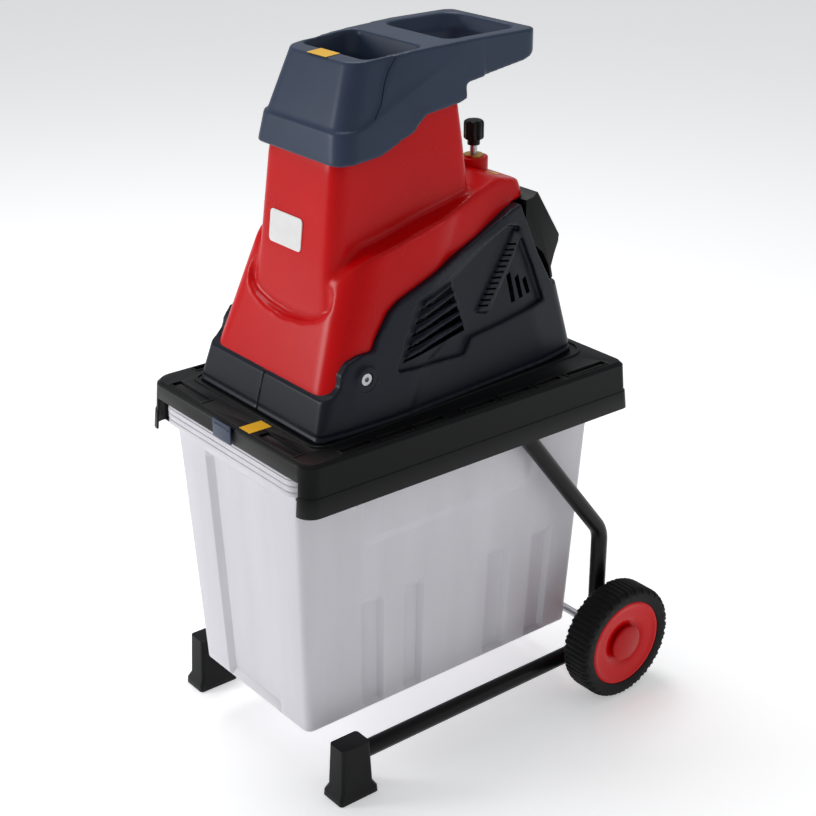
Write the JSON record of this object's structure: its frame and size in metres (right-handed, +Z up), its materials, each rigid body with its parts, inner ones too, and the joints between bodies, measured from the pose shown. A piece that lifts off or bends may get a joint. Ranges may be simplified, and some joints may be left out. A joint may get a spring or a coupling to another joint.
{
  "type": "wood chipper",
  "caption": "Electric garden wood chipper with feed hopper, red housing, slide-out collection box, tubular frame and two wheels.",
  "frame": {"origin": "on the ground under the middle of the footprint", "axes": "+Z up, -Y the front that the box slides out of, X along the wheel axle"},
  "size_m": [0.488, 0.615, 0.975],
  "materials": {
    "black_tube": "satin black powder coat",
    "black_plastic": "fine-grained moulding",
    "dark_plastic": "fine-grained moulding",
    "slate_plastic": "fine-grained moulding",
    "red_plastic": "moulded, semi-gloss",
    "red_cap": "moulded, semi-gloss",
    "tyre": "solid rubber",
    "box_plastic": "translucent white moulding",
    "steel": "zinc-plated",
    "brass": "turned",
    "cast_iron": "machined",
    "aluminium": "die-cast",
    "switch_plastic": "moulded",
    "green_button": "moulded",
    "red_button": "moulded",
    "clear_boot": "clear elastomer",
    "white_plate": "printed plate, blank",
    "yellow_label": "blank label"
  },
  "bodies": {
    "chassis": {"axle": "steel", "axle_retainers": "steel", "capacitor": "switch_plastic", "control_box": "black_plastic", "cutter_chamber": "aluminium", "deck_spacers": "black_plastic", "drum_bearings": "steel", "feed_funnel": "steel", "foot_left": "black_plastic", "foot_right": "black_plastic", "frame_screws": "steel", "frame_tube_left": "black_tube", "frame_tube_right": "black_tube", "gear_pins": "steel", "gearbox_cover": "aluminium", "gearbox_housing": "aluminium", "guide_rail_left": "black_plastic", "guide_rail_right": "black_plastic", "hopper_cap": "slate_plastic", "housing_screws": "steel", "inlet_pins": "steel", "interlock_switch": "switch_plastic", "lower_shell_left": "dark_plastic", "lower_shell_right": "dark_plastic", "motor_bearings": "steel", "motor_casing": "aluminium", "motor_cradle": "switch_plastic", "motor_stator": "cast_iron", "name_plate": "white_plate", "platform": "black_plastic", "power_inlet": "black_plastic", "screw_collar": "brass", "switch_block": "switch_plastic", "switch_frame": "switch_plastic", "upper_housing": "red_plastic", "warning_labels": "yellow_label"},
    "wheel_left": {"tyre_left": "tyre", "wheel_rim_left": "red_plastic", "hub_cap_left": "red_cap"},
    "wheel_right": {"tyre_right": "tyre", "wheel_rim_right": "red_plastic", "hub_cap_right": "red_cap"},
    "box": {"collection_box": "box_plastic"},
    "latch": {"box_latch": "slate_plastic"},
    "knob": {"adjusting_knob": "black_plastic", "adjusting_screw": "steel"},
    "plate": {"pressure_plate": "cast_iron"},
    "rotor": {"rotor_core": "cast_iron", "rotor_shaft": "steel", "motor_pinion": "cast_iron", "cooling_fan": "black_plastic"},
    "gear_one": {"first_gear": "cast_iron"},
    "gear_two": {"second_gear": "cast_iron"},
    "drum": {"cutting_drum": "cast_iron", "drum_shaft": "steel", "drum_gear": "cast_iron"},
    "reset": {"reset_button": "clear_boot"},
    "start_button": {"on_button": "green_button"},
    "stop_button": {"off_button": "red_button"},
    "selector": {"selector_knob": "black_plastic"}
  },
  "joints": [
    {"name": "wheel_left_spin", "type": "hinge", "parent": "chassis", "child": "wheel_left", "pos_m": [-0.22, 0.22, 0.0875], "axis": [1, 0, 0], "continuous": true},
    {"name": "wheel_right_spin", "type": "hinge", "parent": "chassis", "child": "wheel_right", "pos_m": [0.22, 0.22, 0.0875], "axis": [1, 0, 0], "continuous": true},
    {"name": "box_slide", "type": "slide", "parent": "chassis", "child": "box", "axis": [0, -1, 0], "range_m": [0, 0.6]},
    {"name": "latch_slide", "type": "slide", "parent": "chassis", "child": "latch", "axis": [0, 0, -1], "range_m": [0, 0.01]},
    {"name": "knob_turn", "type": "hinge", "parent": "chassis", "child": "knob", "pos_m": [0, 0.118, 0.78], "axis": [0, 0, 1], "range_deg": [0, 1441]},
    {"name": "plate_feed", "type": "slide", "parent": "chassis", "child": "plate", "axis": [0, 0, -1], "range_m": [0, 0.006]},
    {"name": "rotor_spin", "type": "hinge", "parent": "chassis", "child": "rotor", "pos_m": [0, 0.122, 0.606], "axis": [1, 0, 0], "continuous": true},
    {"name": "gear_one_spin", "type": "hinge", "parent": "chassis", "child": "gear_one", "pos_m": [-0.07, 0.08558, 0.57957], "axis": [1, 0, 0], "continuous": true},
    {"name": "gear_two_spin", "type": "hinge", "parent": "chassis", "child": "gear_two", "pos_m": [-0.08, 0.05801, 0.63286], "axis": [1, 0, 0], "continuous": true},
    {"name": "drum_spin", "type": "hinge", "parent": "chassis", "child": "drum", "pos_m": [0, -0.02, 0.606], "axis": [1, 0, 0], "continuous": true},
    {"name": "reset_press", "type": "slide", "parent": "chassis", "child": "reset", "axis": [0, -0.8394, -0.5435], "range_m": [0, 0.002], "stiffness_N_per_m": 300, "springref_m": -0.0005},
    {"name": "start_press", "type": "slide", "parent": "chassis", "child": "start_button", "axis": [0, -0.8394, -0.5435], "range_m": [0, 0.003], "stiffness_N_per_m": 300, "springref_m": -0.0005},
    {"name": "stop_press", "type": "slide", "parent": "chassis", "child": "stop_button", "axis": [0, -0.8394, -0.5435], "range_m": [0, 0.003], "stiffness_N_per_m": 300, "springref_m": -0.0005},
    {"name": "selector_turn", "type": "hinge", "parent": "chassis", "child": "selector", "pos_m": [-0.048, 0.17213, 0.72967], "axis": [0, 0.8394, 0.5435], "range_deg": [-45, 45]}
  ],
  "couplings": [
    {"joint": "knob_turn", "follows": "plate_feed", "rad_per_m": 4188.8},
    {"joint": "gear_one_spin", "follows": "rotor_spin", "ratio": -0.2},
    {"joint": "gear_two_spin", "follows": "rotor_spin", "ratio": 0.05},
    {"joint": "drum_spin", "follows": "rotor_spin", "ratio": -0.0125}
  ]
}
